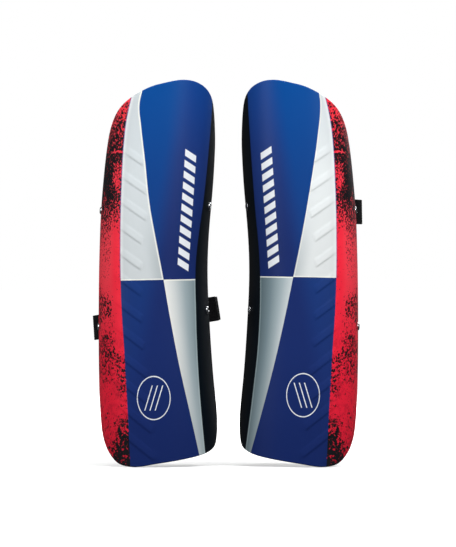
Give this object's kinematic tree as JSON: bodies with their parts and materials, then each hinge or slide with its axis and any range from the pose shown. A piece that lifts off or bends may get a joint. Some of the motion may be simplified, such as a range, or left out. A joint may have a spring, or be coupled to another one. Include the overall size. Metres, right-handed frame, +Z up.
{
  "type": "pair of shin guards",
  "caption": "Pair of slalom shin guards: curved moulded shells with diagonal ribs, foam and quilted liners, riveted elastic straps with hook-and-loop ends.",
  "frame": {"origin": "centre of the bounding box on the ground plane: midway between the two guards, level with their lowest edges", "axes": "+Z up the leg, the fronts of the shells face -Y, the wearer's left guard is at +X and the right guard at -X"},
  "size_m": [0.2715, 0.1107, 0.3878],
  "materials": {
    "shell": "moulded shell with satin printed panels in blue, white, silver, black and red",
    "foam": "closed-cell impact foam, fine matt skin",
    "liner": "quilted brushed knit over soft foam",
    "binding": "folded woven edge tape",
    "elastic": "woven ribbed elastic webbing",
    "hook_pile": "moulded hook pile",
    "loop_pile": "napped loop pile",
    "grip": "ribbed soft grip",
    "rivet": "bright nickel-plated steel"
  },
  "bodies": {
    "guards": {"left_shell": "shell", "left_impact_foam": "foam", "left_comfort_liner": "liner", "left_liner_binding": "binding", "left_foam_coins": "hook_pile", "left_rivets": "rivet", "left_rivet_washers": "rivet", "left_upper_strap_anchors": "elastic", "left_lower_strap_anchors": "elastic", "right_shell": "shell", "right_impact_foam": "foam", "right_comfort_liner": "liner", "right_liner_binding": "binding", "right_foam_coins": "hook_pile", "right_rivets": "rivet", "right_rivet_washers": "rivet", "right_upper_strap_anchors": "elastic", "right_lower_strap_anchors": "elastic"},
    "left_upper_strap": {"left_upper_strap": "elastic"},
    "left_upper_strap_end": {"left_upper_strap_end": "elastic", "left_upper_hook_pad": "hook_pile", "left_upper_strap_grip": "grip"},
    "left_upper_keeper_tab": {"left_upper_keeper_tab": "elastic", "left_upper_loop_pad": "loop_pile"},
    "left_lower_strap": {"left_lower_strap": "elastic"},
    "left_lower_strap_end": {"left_lower_strap_end": "elastic", "left_lower_hook_pad": "hook_pile", "left_lower_strap_grip": "grip"},
    "left_lower_keeper_tab": {"left_lower_keeper_tab": "elastic", "left_lower_loop_pad": "loop_pile"},
    "right_upper_strap": {"right_upper_strap": "elastic"},
    "right_upper_strap_end": {"right_upper_strap_end": "elastic", "right_upper_hook_pad": "hook_pile", "right_upper_strap_grip": "grip"},
    "right_upper_keeper_tab": {"right_upper_keeper_tab": "elastic", "right_upper_loop_pad": "loop_pile"},
    "right_lower_strap": {"right_lower_strap": "elastic"},
    "right_lower_strap_end": {"right_lower_strap_end": "elastic", "right_lower_hook_pad": "hook_pile", "right_lower_strap_grip": "grip"},
    "right_lower_keeper_tab": {"right_lower_keeper_tab": "elastic", "right_lower_loop_pad": "loop_pile"}
  },
  "joints": [
    {"name": "left_upper_strap_open", "type": "hinge", "parent": "guards", "child": "left_upper_strap", "pos_m": [0.12528, 0.01372, 0.25617], "axis": [-0.042, 0, -0.9991], "range_deg": [0, 95]},
    {"name": "left_upper_strap_peel", "type": "hinge", "parent": "left_upper_strap", "child": "left_upper_strap_end", "pos_m": [0.09859, 0.05375, 0.25729], "axis": [-0.042, 0, -0.9991], "range_deg": [0, 100]},
    {"name": "left_upper_tab_flex", "type": "hinge", "parent": "guards", "child": "left_upper_keeper_tab", "pos_m": [0.02673, 0.01534, 0.26032], "axis": [-0.042, 0, -0.9991], "range_deg": [0, 35]},
    {"name": "left_lower_strap_open", "type": "hinge", "parent": "guards", "child": "left_lower_strap", "pos_m": [0.12765, 0.01119, 0.1398], "axis": [-0.1559, 0, -0.9878], "range_deg": [0, 95]},
    {"name": "left_lower_strap_peel", "type": "hinge", "parent": "left_lower_strap", "child": "left_lower_strap_end", "pos_m": [0.0993, 0.05114, 0.14427], "axis": [-0.1559, 0, -0.9878], "range_deg": [0, 100]},
    {"name": "left_lower_tab_flex", "type": "hinge", "parent": "guards", "child": "left_lower_keeper_tab", "pos_m": [0.02899, 0.01269, 0.15537], "axis": [-0.1559, 0, -0.9878], "range_deg": [0, 35]},
    {"name": "right_upper_strap_open", "type": "hinge", "parent": "guards", "child": "right_upper_strap", "pos_m": [-0.12528, 0.01376, 0.25617], "axis": [-0.042, 0, 0.9991], "range_deg": [0, 95]},
    {"name": "right_upper_strap_peel", "type": "hinge", "parent": "right_upper_strap", "child": "right_upper_strap_end", "pos_m": [-0.09712, 0.05374, 0.25736], "axis": [-0.042, 0, 0.9991], "range_deg": [0, 100]},
    {"name": "right_upper_tab_flex", "type": "hinge", "parent": "guards", "child": "right_upper_keeper_tab", "pos_m": [-0.02673, 0.01534, 0.26032], "axis": [-0.042, 0, 0.9991], "range_deg": [0, 35]},
    {"name": "right_lower_strap_open", "type": "hinge", "parent": "guards", "child": "right_lower_strap", "pos_m": [-0.12764, 0.01115, 0.1398], "axis": [-0.1559, 0, 0.9878], "range_deg": [0, 95]},
    {"name": "right_lower_strap_peel", "type": "hinge", "parent": "right_lower_strap", "child": "right_lower_strap_end", "pos_m": [-0.10057, 0.05115, 0.14407], "axis": [-0.1559, 0, 0.9878], "range_deg": [0, 100]},
    {"name": "right_lower_tab_flex", "type": "hinge", "parent": "guards", "child": "right_lower_keeper_tab", "pos_m": [-0.02898, 0.01276, 0.15537], "axis": [-0.1559, 0, 0.9878], "range_deg": [0, 35]}
  ]
}
